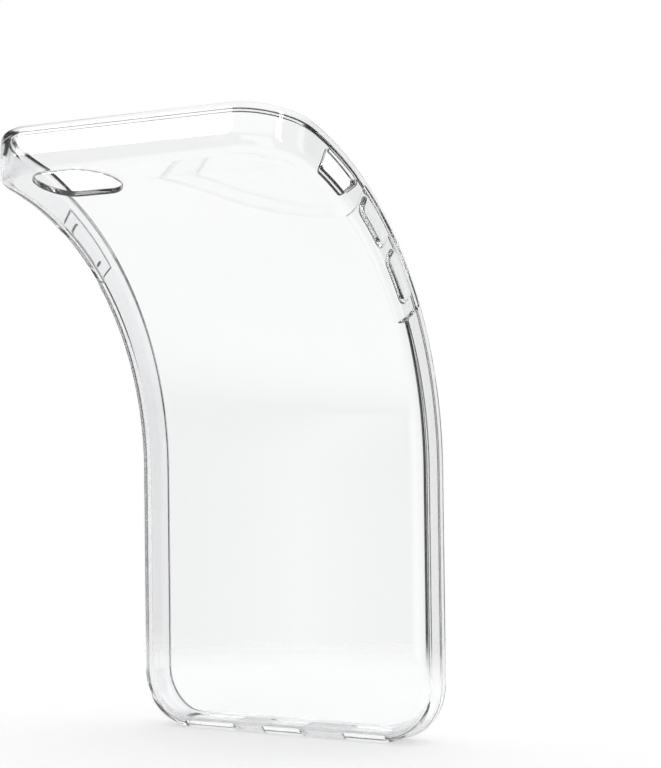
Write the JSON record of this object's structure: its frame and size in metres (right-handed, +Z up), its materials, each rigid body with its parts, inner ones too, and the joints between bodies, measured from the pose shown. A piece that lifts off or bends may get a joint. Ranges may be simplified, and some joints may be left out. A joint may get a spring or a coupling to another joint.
{
  "type": "phone case",
  "caption": "Clear flexible phone case, shown peeling back from its upper half, with a camera opening, port openings and moulded button covers that press in.",
  "frame": {"origin": "the middle of the flat face along the bottom edge, which the case stands on", "axes": "+Z runs up the case's length, +Y points from the back to the open front where the phone goes in, and +X points to the side with the volume and mute controls, which is to the right seen from the back"},
  "size_m": [0.0706, 0.0612, 0.122],
  "materials": {
    "clear_resin": "clear glossy flexible resin",
    "cover_resin": "clear glossy flexible resin"
  },
  "bodies": {
    "bottom_end": {"bottom_end": "clear_resin"},
    "lower_band": {"lower_band": "clear_resin"},
    "middle_band": {"middle_band": "clear_resin"},
    "volume_down_band": {"volume_down_band": "clear_resin"},
    "volume_up_band": {"volume_up_band": "clear_resin"},
    "mute_switch_band": {"mute_switch_band": "clear_resin"},
    "camera_end": {"camera_end": "clear_resin"},
    "volume_up_cover": {"volume_up_cover": "cover_resin"},
    "volume_down_cover": {"volume_down_cover": "cover_resin"},
    "power_cover": {"power_cover": "cover_resin"}
  },
  "joints": [
    {"name": "flex_1", "type": "hinge", "parent": "bottom_end", "child": "lower_band", "pos_m": [0, -0.00505, 0.06095], "axis": [1, 0, 0], "range_deg": [-12.4, 0]},
    {"name": "flex_2", "type": "hinge", "parent": "lower_band", "child": "middle_band", "pos_m": [0, -0.00778, 0.07335], "axis": [1, 0, 0], "range_deg": [-12.4, 0]},
    {"name": "flex_3", "type": "hinge", "parent": "middle_band", "child": "volume_down_band", "pos_m": [0, -0.0131, 0.08488], "axis": [1, 0, 0], "range_deg": [-12.4, 0]},
    {"name": "flex_4", "type": "hinge", "parent": "volume_down_band", "child": "volume_up_band", "pos_m": [0, -0.02078, 0.095], "axis": [1, 0, 0], "range_deg": [-12.4, 0]},
    {"name": "flex_5", "type": "hinge", "parent": "volume_up_band", "child": "mute_switch_band", "pos_m": [0, -0.03045, 0.10323], "axis": [1, 0, 0], "range_deg": [-12.4, 0]},
    {"name": "flex_6", "type": "hinge", "parent": "mute_switch_band", "child": "camera_end", "pos_m": [0, -0.04167, 0.10919], "axis": [1, 0, 0], "range_deg": [-12.4, 0]},
    {"name": "volume_up_press", "type": "slide", "parent": "volume_up_band", "child": "volume_up_cover", "axis": [-1, 0, 0], "range_m": [0, 0.0004], "stiffness_N_per_m": 4000},
    {"name": "volume_down_press", "type": "slide", "parent": "volume_down_band", "child": "volume_down_cover", "axis": [-1, 0, 0], "range_m": [0, 0.0004], "stiffness_N_per_m": 4000},
    {"name": "power_press", "type": "slide", "parent": "volume_up_band", "child": "power_cover", "axis": [1, 0, 0], "range_m": [0, 0.0004], "stiffness_N_per_m": 4000}
  ],
  "couplings": [
    {"joint": "flex_2", "follows": "flex_1", "ratio": 1},
    {"joint": "flex_3", "follows": "flex_1", "ratio": 1},
    {"joint": "flex_4", "follows": "flex_1", "ratio": 1},
    {"joint": "flex_5", "follows": "flex_1", "ratio": 1},
    {"joint": "flex_6", "follows": "flex_1", "ratio": 1}
  ]
}
